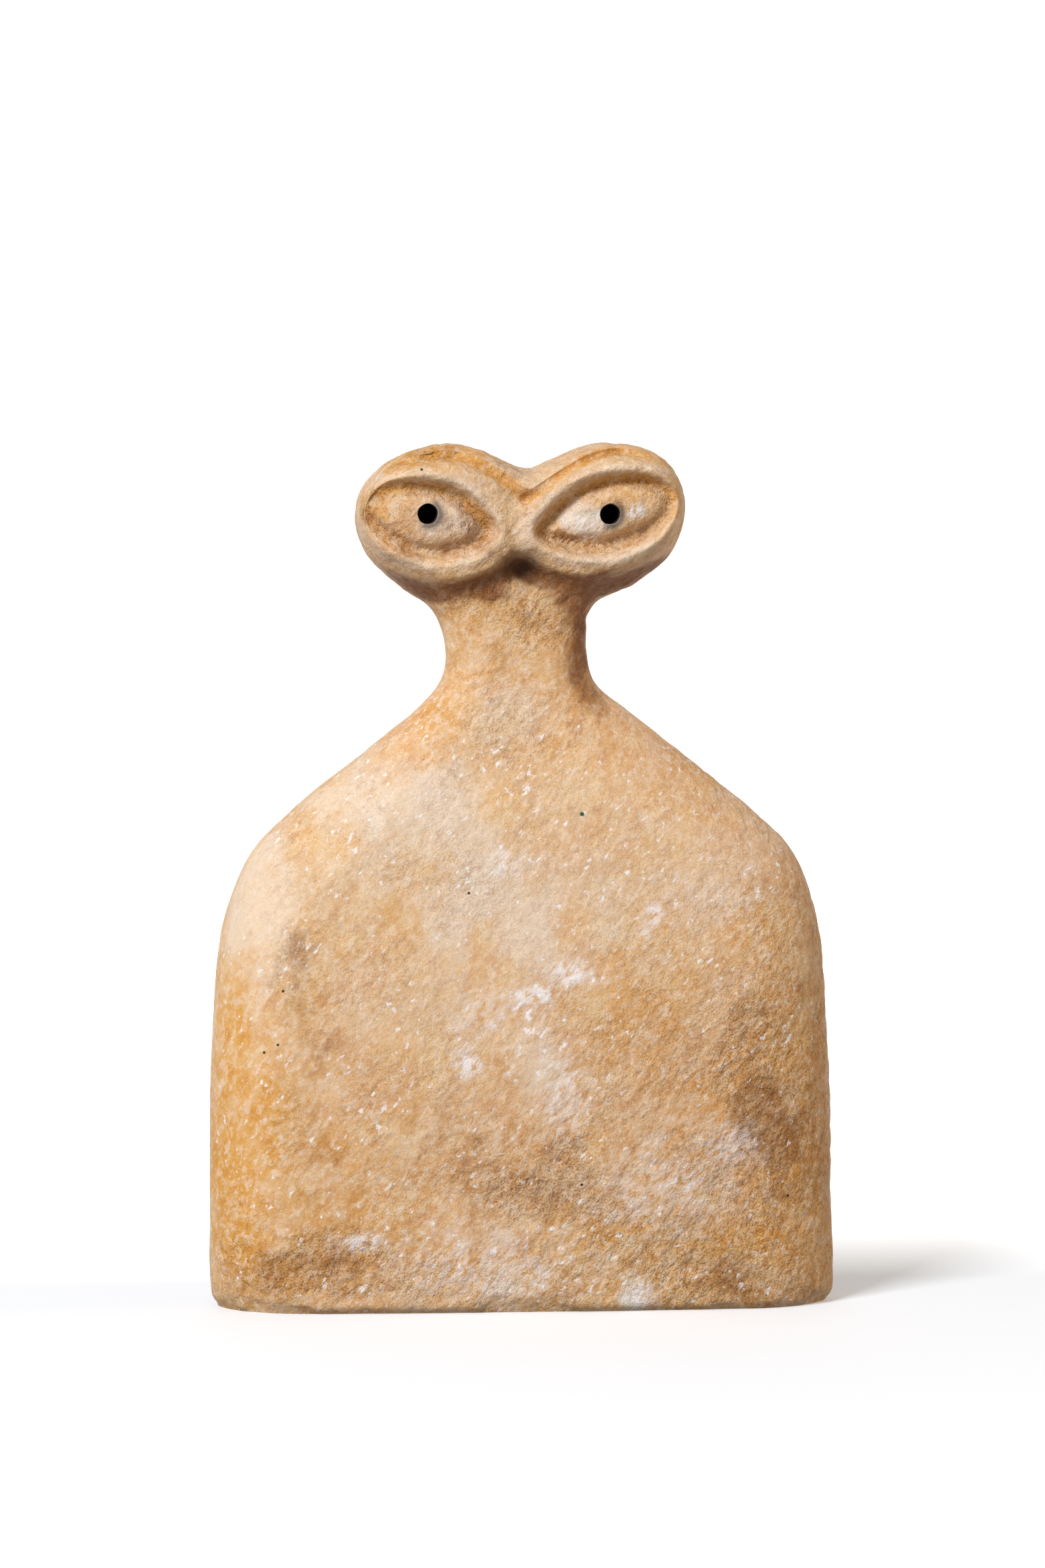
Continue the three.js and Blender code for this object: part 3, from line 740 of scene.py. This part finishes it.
def make_idol():
    """The carved, worn and drilled idol, with its marks, standing over the middle of its base."""
    points, faces = blank_mesh()
    low, high = points.min(0), points.max(0)
    middle = np.array([(low[0] + high[0]) / 2, (low[1] + high[1]) / 2, low[2]])
    idol = new_object("carved_idol", points, faces)
    weathered(idol.data)
    cleaned(idol.data, SLIVER)
    drill_pupils(idol)
    mesh = idol.data
    cleaned(mesh, SLIVER)
    for name, values in marks_of(points_of(mesh)).items():
        mesh.attributes.new(name, "FLOAT", "POINT").data.foreach_set("value", values.astype(np.float32))
    mesh.vertices.foreach_set("co", ((points_of(mesh) - middle) * MM).ravel())
    mesh.polygons.foreach_set("use_smooth", [True] * len(mesh.polygons))
    mesh.set_sharp_from_angle(angle=SHARP_ANGLE)
    mesh.update()
    return idol


# The stone's colours, as display values.
HONEY = (224, 178, 118)
TAN = (208, 154, 88)
PEACH = (224, 182, 138)
SAND = (234, 205, 160)
CREAM = (232, 219, 203)
PALE_PEACH = (240, 216, 192)
OCHRE = (219, 158, 62)
BROWN = (130, 74, 20)
CHIN_PIT_SHADE_BROWN = (62, 32, 8)
GREY = (152, 114, 86)
RIM_GREY = (92, 86, 84)
UMBER = (150, 96, 48)
WHITE = (246, 242, 244)
SOOT = (48, 40, 30)
GREEN = (30, 84, 60)
BORE_SHADE_BLACK = (14, 8, 6)

# The stains and the painted light and shade they carry: the mark that each follows, where it starts and is
# full, its strength and its colour
STAINS_AND_PAINTED_LIGHT = [
    # pale carries painted light on the head and a painted highlight where the lids cross
    ("pale", 0.15, 1.0, 0.85, CREAM),
    # ochre carries painted warm bounce light over the lower body
    ("ochre", 0.2, 1.0, 0.85, OCHRE),
    # brown carries painted shade, partly dirt, under the lobes
    ("brown", 0.2, 1.0, 0.88, BROWN),
    ("grey", 0.3, 0.95, 0.75, GREY),
]
RIM_STRENGTH = 0.85

# The stone's see-through depth, its gloss, and how far its grain stands out
SEE_THROUGH = 0.2
SEE_THROUGH_COLOURS = (1.0, 0.65, 0.3)
SEE_THROUGH_DEPTH = 0.45 * MM
GLOSS = 0.3
GRAIN_RELIEF = 0.3 * MM
RELIEF_SHARES = [("grain", 0.8), ("speck", 0.35), ("crease", 0.4), ("mottle", 1.0), ("lump", 0.8)]
GRAIN_SLOPE, GRAIN_STRETCH = 35, 1.4
SCRATCH_SLOPE, SCRATCH_STRETCH = 40, 1.8
FLECK_STRENGTH = 0.92
FLECKS_END, FLECKS_FADE = 0.74 * HEIGHT * MM, 0.68 * HEIGHT * MM


def srgb(red, green, blue):
    """A colour given as 0 to 255 display values, as linear light, by the display's own curve."""
    shares = [value / 255 for value in (red, green, blue)]
    return [v / 12.92 if v < 0.04045 else ((v + 0.055) / 1.055) ** 2.4 for v in shares] + [1]


class Nodes:
    """Short ways to add and join a material's nodes."""

    def __init__(self, material):
        self.tree = material.node_tree
        self.place = self.tree.nodes.new("ShaderNodeTexCoord").outputs["Object"]

    def add(self, kind, values, output=0, **settings):
        node = self.tree.nodes.new(kind)
        for name, value in settings.items():
            setattr(node, name, value)
        for name, value in values.items():
            self.give(node.inputs[name], value)
        return node.outputs[output]

    def give(self, socket, value):
        if isinstance(value, bpy.types.NodeSocket):
            self.tree.links.new(value, socket)
        else:
            socket.default_value = value

    def part(self, axis):
        """A place's part along one axis, in metres."""
        parts = self.tree.nodes.new("ShaderNodeSeparateXYZ")
        self.give(parts.inputs[0], self.place)
        return parts.outputs[axis]

    def mark(self, name):
        return self.add("ShaderNodeAttribute", {}, "Fac", attribute_name=name)

    def math(self, operation, *values, clamp=False):
        return self.add("ShaderNodeMath", dict(enumerate(values)), operation=operation, use_clamp=clamp)

    def noise(self, size, detail=2.0, place=None, roughness=0.5):
        """Noise with lumps about as large as size, in millimetres."""
        values = {"Vector": place or self.place, "Scale": 1 / (size * MM)}
        return self.add("ShaderNodeTexNoise", {**values, "Detail": detail, "Roughness": roughness})

    def ramp(self, value, low, high, start=0.0, end=1.0):
        """Goes evenly from start, where a value is low, to end, where it is high."""
        values = {"Value": value, "From Min": low, "From Max": high, "To Min": start, "To Max": end}
        return self.add("ShaderNodeMapRange", values)

    def mix(self, share, first, second, how="MIX"):
        """The first colour with a share of the second; sockets 0, 6 and 7 are the mix node's own."""
        colours = {0: share, 6: first, 7: second}
        return self.add("ShaderNodeMix", colours, 2, data_type="RGBA", blend_type=how)

    def slanted(self, degrees, stretch):
        """Places that stretch a pattern along a slope that many degrees off upright, towards the right."""
        values = {"Vector": self.place, "Rotation": (0, math.radians(degrees), 0), "Scale": (1, 1, stretch)}
        return self.add("ShaderNodeMapping", values, vector_type="TEXTURE")

    def lumps(self, size, place):
        """Lumps about as large as size, in millimetres, with creases between them."""
        away = self.add("ShaderNodeTexVoronoi", {"Vector": place, "Scale": 1 / (size * MM)}, feature="F1")
        return self.math("SUBTRACT", 1.0, away)


def stone_patterns(n):
    """The stone's own patterns, from broad clouds to the finest specks."""
    slanted = n.slanted(GRAIN_SLOPE, GRAIN_STRETCH)
    return {
        "cloud": n.noise(11, 3),
        "blotch": n.noise(3.0, 5, roughness=0.62),
        "mottle": n.noise(1.1, 5, slanted, 0.65),
        "lump": n.noise(0.6, 3, slanted, 0.6),
        "grain": n.noise(0.34, 4, slanted, 0.65),
        "speck": n.noise(0.12, 2),
        "crease": n.lumps(0.6, slanted),
        "scratch": n.noise(0.42, 3, n.slanted(SCRATCH_SLOPE, SCRATCH_STRETCH), 0.6),
        "spread": n.noise(6, 2),
    }


def stained_and_painted_light(n, body, patterns):
    """The stone's colour with the broad stains and the painted light and shade over it, their edges broken
    up by blotches and mottle.
    """
    broken = n.ramp(patterns["blotch"], 0.2, 0.8, -0.2, 0.2)
    finely_broken = n.ramp(patterns["mottle"], 0.2, 0.8, -0.2, 0.2)
    for name, low, high, strength, colour in STAINS_AND_PAINTED_LIGHT:
        edged = n.math("ADD", n.math("ADD", n.mark(name), broken), finely_broken)
        body = n.mix(n.math("MULTIPLY", n.ramp(edged, low, high), strength), body, srgb(*colour))
    return body


def grained(n, body, patterns):
    """The colour with pale grains where the stone is clean and dark hollows where it is pitted."""
    mottle, lump, grain, speck = (patterns[name] for name in ("mottle", "lump", "grain", "speck"))
    clean = n.ramp(n.mark("brown"), 0.2, 0.9, 1.0, 0.25)
    pitted = n.ramp(n.mark("rough"), 0.1, 0.8, 0.08, 0.5)
    body = n.mix(n.ramp(mottle, 0.52, 0.72, 0, 0.35), body, srgb(*TAN), "MULTIPLY")
    grains = [
        (mottle, 0.3, 0.48, 0.35, 0, clean, CREAM, "MIX"),
        (lump, 0.52, 0.63, 0, 0.48, clean, PALE_PEACH, "MIX"),
        (lump, 0.36, 0.48, 0.4, 0, pitted, TAN, "MULTIPLY"),
        (grain, 0.54, 0.66, 0, 0.4, clean, CREAM, "MIX"),
        (grain, 0.32, 0.46, 1, 0, pitted, UMBER, "MULTIPLY"),
        (speck, 0.34, 0.5, 1, 0, pitted, UMBER, "MULTIPLY"),
        (speck, 0.58, 0.72, 0, 0.3, clean, CREAM, "MIX"),
    ]
    for pattern, low, high, start, end, where, colour, how in grains:
        share = n.math("MULTIPLY", n.ramp(pattern, low, high, start, end), where)
        body = n.mix(share, body, srgb(*colour), how)
    return body


def flecked(n, body, patterns):
    """The colour with white flecks: a few all over the body, and many where the stone is marked for them."""
    few = n.math("ADD", patterns["scratch"], n.ramp(patterns["spread"], 0.35, 0.65, -0.03, 0.03))
    many = n.math("MULTIPLY", n.mark("fleck"), n.ramp(patterns["scratch"], 0.4, 0.5))
    on_body = n.ramp(n.part("Z"), FLECKS_FADE, FLECKS_END, 1, 0)
    flecks = n.math("ADD", n.math("MULTIPLY", n.ramp(few, 0.63, 0.71), on_body), many, clamp=True)
    return n.mix(n.math("MULTIPLY", flecks, FLECK_STRENGTH), body, srgb(*WHITE))


def stone_colour(n, patterns):
    """The stone's colour, with its stains, painted light and shade, grains, flecks, dots, and painted shade
    in the chin pit and the pupils' bores.
    """
    blotch = patterns["blotch"]
    body = n.mix(n.ramp(patterns["cloud"], 0.38, 0.62), srgb(*PEACH), srgb(*HONEY))
    body = n.mix(n.ramp(blotch, 0.45, 0.7, 0, 0.42), body, srgb(*TAN))
    body = n.mix(n.ramp(blotch, 0.3, 0.5, 0.5, 0), body, srgb(*SAND))
    body = flecked(n, grained(n, stained_and_painted_light(n, body, patterns), patterns), patterns)
    for x, z in DARK_DOTS:
        body = n.mix(dot(n, x, z, DARK_DOT_RADIUS), body, srgb(*SOOT))
    body = n.mix(dot(n, *GREEN_DOT, GREEN_DOT_RADIUS), body, srgb(*GREEN))
    # Painted shade in the chin pit
    body = n.mix(n.mark("pit"), body, srgb(*CHIN_PIT_SHADE_BROWN))
    body = n.mix(n.math("MULTIPLY", n.mark("rim"), RIM_STRENGTH), body, srgb(*RIM_GREY))
    # Painted shade deep in the pupils' bores
    return n.mix(n.mark("bore_shade"), body, srgb(*BORE_SHADE_BLACK))


def stone_relief(n, patterns):
    """The finest relief, too small for the mesh, strongest where the stone is rough."""
    height = 0.0
    for name, share in RELIEF_SHARES:
        height = n.math("ADD", height, n.math("MULTIPLY", patterns[name], share))
    strength = n.ramp(n.mark("rough"), 0.15, 0.8, 0.22, 1.0)
    return n.add("ShaderNodeBump", {"Strength": strength, "Distance": GRAIN_RELIEF, "Height": height})


def alabaster_material():
    """Warm, mottled, slightly see-through alabaster, with stains in its hollows, painted shade under the
    lobes, in the chin pit and in the pupils' bores, and a worn face.
    """
    material = bpy.data.materials.new("alabaster")
    material.use_nodes = True
    shader = material.node_tree.nodes["Principled BSDF"]
    n = Nodes(material)
    patterns = stone_patterns(n)
    n.give(shader.inputs["Base Color"], stone_colour(n, patterns))
    n.give(shader.inputs["Roughness"], n.ramp(patterns["blotch"], 0.3, 0.7, 0.55, 0.72))
    n.give(shader.inputs["Normal"], stone_relief(n, patterns))
    shader.inputs["Specular IOR Level"].default_value = GLOSS
    shader.inputs["Subsurface Weight"].default_value = SEE_THROUGH
    shader.inputs["Subsurface Radius"].default_value = SEE_THROUGH_COLOURS
    shader.inputs["Subsurface Scale"].default_value = SEE_THROUGH_DEPTH
    return material


def dot(n, x, z, radius):
    """A small round dot with a soft edge on the front at x and z, in millimetres."""
    across = n.math("SUBTRACT", n.part("X"), x * MM)
    up = n.math("SUBTRACT", n.part("Z"), z * MM)
    away = n.math("SQRT", n.math("ADD", n.math("MULTIPLY", across, across), n.math("MULTIPLY", up, up)))
    front = n.math("LESS_THAN", n.part("Y"), 0.0)
    return n.math("MULTIPLY", n.ramp(away, 0.8 * radius * MM, 1.25 * radius * MM, 1.0, 0.0), front)


def plain_material(name, colour, roughness):
    material = bpy.data.materials.new(name)
    material.use_nodes = True
    shader = material.node_tree.nodes["Principled BSDF"]
    shader.inputs["Base Color"].default_value = (*colour, 1)
    shader.inputs["Roughness"].default_value = roughness
    return material


# The photograph's view: slightly from the left, from a little above the middle of the body.
CAMERA_AZIMUTH = -5.0
CAMERA_DISTANCE = 430 * MM
CAMERA_HEIGHT = 61 * MM
CAMERA_LENS = 131.4
CAMERA_CLIP = 0.01
FRAME_MIDDLE = 39.2 * MM

# The studio: a floor that bends up into a backdrop, which glows behind the idol, and two lamps
STUDIO_HALF_WIDTH = 1.2
FLOOR_FRONT, FLOOR_BACK = -1.2, 0.6
BEND_RADIUS, BEND_STEPS = 0.35, 16
WALL_TOP = 1.6
BACKDROP_COLOUR, BACKDROP_ROUGHNESS = (0.82, 0.86, 0.93), 0.8
LEAST_GLOW, FULL_GLOW = 0.2, 1.0
GLOW_START, GLOW_FULL = 0.012, 0.05
GLOW_HEIGHT = 0.15
ROOM_COLOUR, ROOM_STRENGTH = (1, 0.93, 0.84, 1), 0.3
LAMP_AIM = (0, 0, 0.03)
Lamp = namedtuple("Lamp", "name side power place colour")
LAMPS = [
    Lamp("key", 0.25, 6.0, (-0.38, -0.53, 0.47), (1, 1, 1)),
    Lamp("fill", 0.6, 2.1, (0.9, -0.04, 0.22), (1.0, 0.7, 0.4)),
]


def make_camera():
    data = bpy.data.cameras.new("camera")
    data.lens = CAMERA_LENS
    data.clip_start = CAMERA_CLIP
    camera = bpy.data.objects.new("camera", data)
    bpy.context.scene.collection.objects.link(camera)
    turn = math.radians(CAMERA_AZIMUTH)
    camera.location = (CAMERA_DISTANCE * math.sin(turn), -CAMERA_DISTANCE * math.cos(turn), CAMERA_HEIGHT)
    aim = Vector((0, 0, FRAME_MIDDLE)) - camera.location
    camera.rotation_euler = aim.to_track_quat("-Z", "Y").to_euler()
    bpy.context.scene.camera = camera


def make_light(lamp):
    """A soft, square light that points at the idol."""
    data = bpy.data.lights.new(lamp.name, "AREA")
    data.shape = "RECTANGLE"
    data.size = data.size_y = lamp.side
    data.energy = lamp.power
    data.color = lamp.colour
    light = bpy.data.objects.new(lamp.name, data)
    light.location = lamp.place
    light.rotation_euler = (Vector(LAMP_AIM) - Vector(lamp.place)).to_track_quat("-Z", "Y").to_euler()
    bpy.context.scene.collection.objects.link(light)


def backdrop_mesh():
    """A pale floor that bends up into a wall behind the idol."""
    profile = [(FLOOR_FRONT, 0.0), (FLOOR_BACK, 0.0)]
    for i in range(1, BEND_STEPS + 1):
        turn = math.pi / 2 * i / BEND_STEPS
        profile.append((FLOOR_BACK + BEND_RADIUS * math.sin(turn), BEND_RADIUS * (1 - math.cos(turn))))
    profile.append((FLOOR_BACK + BEND_RADIUS, WALL_TOP))
    points = [(x, y, z) for y, z in profile for x in (-STUDIO_HALF_WIDTH, STUDIO_HALF_WIDTH)]
    faces = [(2 * i, 2 * i + 1, 2 * i + 3, 2 * i + 2) for i in range(len(profile) - 1)]
    mesh = bpy.data.meshes.new("backdrop")
    mesh.from_pydata(points, [], faces)
    mesh.polygons.foreach_set("use_smooth", [True] * len(faces))
    return mesh


def backdrop_material():
    """White paper that glows more and more behind the idol and up the wall."""
    paper = plain_material("backdrop", BACKDROP_COLOUR, BACKDROP_ROUGHNESS)
    shader = paper.node_tree.nodes["Principled BSDF"]
    shader.inputs["Emission Color"].default_value = (1, 1, 1, 1)
    n = Nodes(paper)
    behind = n.ramp(n.part("Y"), GLOW_START, GLOW_FULL, LEAST_GLOW, FULL_GLOW)
    up = n.ramp(n.part("Z"), 0.0, GLOW_HEIGHT, LEAST_GLOW, FULL_GLOW)
    n.give(shader.inputs["Emission Strength"], n.math("MAXIMUM", up, behind))
    return paper


def make_studio():
    """The backdrop, a soft key lamp on the left, a weaker fill on the right and the room's own light."""
    backdrop = bpy.data.objects.new("backdrop", backdrop_mesh())
    backdrop.data.materials.append(backdrop_material())
    bpy.context.scene.collection.objects.link(backdrop)
    backdrop.visible_diffuse = False
    for lamp in LAMPS:
        make_light(lamp)
    world = bpy.data.worlds.new("studio")
    world.use_nodes = True
    room = world.node_tree.nodes["Background"]
    room.inputs["Color"].default_value = ROOM_COLOUR
    room.inputs["Strength"].default_value = ROOM_STRENGTH
    bpy.context.scene.world = world
    bpy.context.scene.view_settings.view_transform = "Standard"


def ride_and_replace(idol):
    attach(idol, "root")
    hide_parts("idol")


make_camera()
make_studio()
idol = make_idol()
idol.data.materials.append(alabaster_material())
ride_and_replace(idol)
